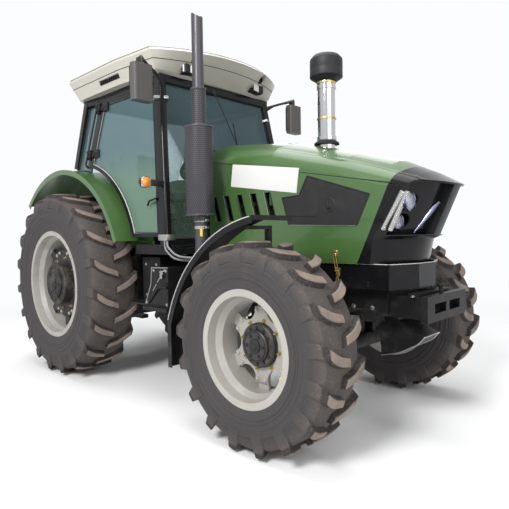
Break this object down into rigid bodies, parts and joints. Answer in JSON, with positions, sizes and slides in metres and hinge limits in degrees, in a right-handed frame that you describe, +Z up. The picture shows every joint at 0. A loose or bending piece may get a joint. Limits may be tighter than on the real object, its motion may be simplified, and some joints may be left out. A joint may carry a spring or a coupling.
{
  "type": "farm tractor",
  "caption": "Four-wheel-drive farm tractor with a glazed cab, long sloping bonnet, upright exhaust, bar-lug tyres and a rear three-point linkage.",
  "frame": {"origin": "on the ground under the middle of the machine's overall box", "axes": "+X forward, +Y to the driver's left, +Z up"},
  "size_m": [4.5711, 2.132, 3.0099],
  "materials": {
    "green_paint": "satin",
    "black_gloss": "glossy",
    "black_paint": "satin",
    "cast_black": "satin",
    "cream_plastic": "satin",
    "tinted_glass": "clear",
    "tyre_rubber": "matt",
    "rim_silver": "satin",
    "chrome": "polished",
    "muffler_steel": "satin",
    "black_plastic": "matt",
    "seat_fabric": "woven",
    "lamp_glass": "clear",
    "screen_mesh": "perforated",
    "mirror_shell": "matt",
    "alloy": "matt"
  },
  "bodies": {
    "chassis": {"front_axle": "cast_black", "front_frame": "black_paint", "engine_block": "cast_black", "radiator": "alloy", "gearbox": "cast_black", "rear_axle": "cast_black", "exhaust": "muffler_steel", "cab_floor": "black_paint", "cowl": "black_gloss", "cab_frame": "black_gloss", "rear_fenders": "green_paint", "cab_glass": "tinted_glass", "roof": "cream_plastic", "cab_lamps": "lamp_glass", "seat_base": "black_plastic", "seat_cushions": "seat_fabric", "dash_console": "black_plastic", "battery_box": "black_paint", "fuel_tank": "black_plastic", "steps": "black_paint", "side_frame": "black_paint", "mirrors": "mirror_shell", "lift_housing": "cast_black", "drawbar": "black_paint", "front_band": "black_gloss"},
    "bonnet": {"bonnet_shell": "green_paint", "bonnet_nose": "black_gloss", "side_screens": "screen_mesh", "headlamps": "lamp_glass", "air_intake": "chrome"},
    "track_rod": {"track_rod": "black_paint"},
    "steering_wheel": {"steering_wheel": "black_plastic"},
    "lift_arms": {"lift_arms": "black_paint"},
    "lower_links": {"lower_links": "black_paint"},
    "lift_rods": {"lift_rods": "black_paint"},
    "door_left": {"door_frame_left": "black_gloss", "door_glass_left": "tinted_glass"},
    "knuckle_left": {"knuckle_left": "cast_black", "front_fender_left": "black_paint"},
    "wheel_front_left": {"tyre_front_left": "tyre_rubber", "rim_front_left": "rim_silver", "hub_front_left": "cast_black"},
    "wheel_rear_left": {"tyre_rear_left": "tyre_rubber", "rim_rear_left": "rim_silver", "hub_rear_left": "cast_black"},
    "door_right": {"door_frame_right": "black_gloss", "door_glass_right": "tinted_glass"},
    "knuckle_right": {"knuckle_right": "cast_black", "front_fender_right": "black_paint"},
    "wheel_front_right": {"tyre_front_right": "tyre_rubber", "rim_front_right": "rim_silver", "hub_front_right": "cast_black"},
    "wheel_rear_right": {"tyre_rear_right": "tyre_rubber", "rim_rear_right": "rim_silver", "hub_rear_right": "cast_black"}
  },
  "joints": [
    {"name": "steer_left", "type": "hinge", "parent": "chassis", "child": "knuckle_left", "pos_m": [1.41107, 0.64, 0.64793], "axis": [0, 0, 1], "range_deg": [-35, 35]},
    {"name": "wheel_front_left_spin", "type": "hinge", "parent": "knuckle_left", "child": "wheel_front_left", "pos_m": [1.41107, 0.877, 0.64793], "axis": [0, 1, 0], "continuous": true},
    {"name": "wheel_rear_left_spin", "type": "hinge", "parent": "chassis", "child": "wheel_rear_left", "pos_m": [-1.25693, 0.803, 0.87493], "axis": [0, 1, 0], "continuous": true},
    {"name": "door_left_hinge", "type": "hinge", "parent": "chassis", "child": "door_left", "pos_m": [-0.9461, 0.72884, 2.12286], "axis": [0.2466, -0.1009, 0.9639], "range_deg": [0, 70]},
    {"name": "steer_right", "type": "hinge", "parent": "chassis", "child": "knuckle_right", "pos_m": [1.41107, -0.64, 0.64793], "axis": [0, 0, 1], "range_deg": [-35, 35]},
    {"name": "wheel_front_right_spin", "type": "hinge", "parent": "knuckle_right", "child": "wheel_front_right", "pos_m": [1.41107, -0.877, 0.64793], "axis": [0, 1, 0], "continuous": true},
    {"name": "wheel_rear_right_spin", "type": "hinge", "parent": "chassis", "child": "wheel_rear_right", "pos_m": [-1.25693, -0.803, 0.87493], "axis": [0, 1, 0], "continuous": true},
    {"name": "door_right_hinge", "type": "hinge", "parent": "chassis", "child": "door_right", "pos_m": [-0.9461, -0.72884, 2.12286], "axis": [-0.2466, -0.1009, -0.9639], "range_deg": [0, 70]},
    {"name": "track_rod_slide", "type": "slide", "parent": "chassis", "child": "track_rod", "axis": [0, 1, 0], "range_m": [-0.112, 0.112]},
    {"name": "steering_wheel_turn", "type": "hinge", "parent": "chassis", "child": "steering_wheel", "pos_m": [-0.17693, 0, 1.98993], "axis": [-0.5736, 0, 0.8192], "range_deg": [-212, 212]},
    {"name": "bonnet_lift", "type": "hinge", "parent": "chassis", "child": "bonnet", "pos_m": [0.41507, 0, 2.05193], "axis": [0, -1, 0], "range_deg": [0, 45]},
    {"name": "lift_arms_turn", "type": "hinge", "parent": "chassis", "child": "lift_arms", "pos_m": [-1.52693, 0, 1.17493], "axis": [0, 1, 0], "range_deg": [-12, 38]},
    {"name": "lower_links_turn", "type": "hinge", "parent": "chassis", "child": "lower_links", "pos_m": [-1.31693, 0, 0.51993], "axis": [0, 1, 0], "range_deg": [-8.72, 27.17]},
    {"name": "lift_rods_turn", "type": "hinge", "parent": "lower_links", "child": "lift_rods", "pos_m": [-1.78126, 0, 0.49493], "axis": [0, 1, 0], "range_deg": [-24.73, 8.02]}
  ],
  "couplings": [
    {"joint": "steer_right", "follows": "steer_left", "ratio": 1},
    {"joint": "track_rod_slide", "follows": "steer_left", "m_per_rad": 0.1784},
    {"joint": "steering_wheel_turn", "follows": "steer_left", "ratio": 6},
    {"joint": "lower_links_turn", "follows": "lift_arms_turn", "ratio": 0.70968},
    {"joint": "lift_rods_turn", "follows": "lift_arms_turn", "ratio": -0.643}
  ]
}
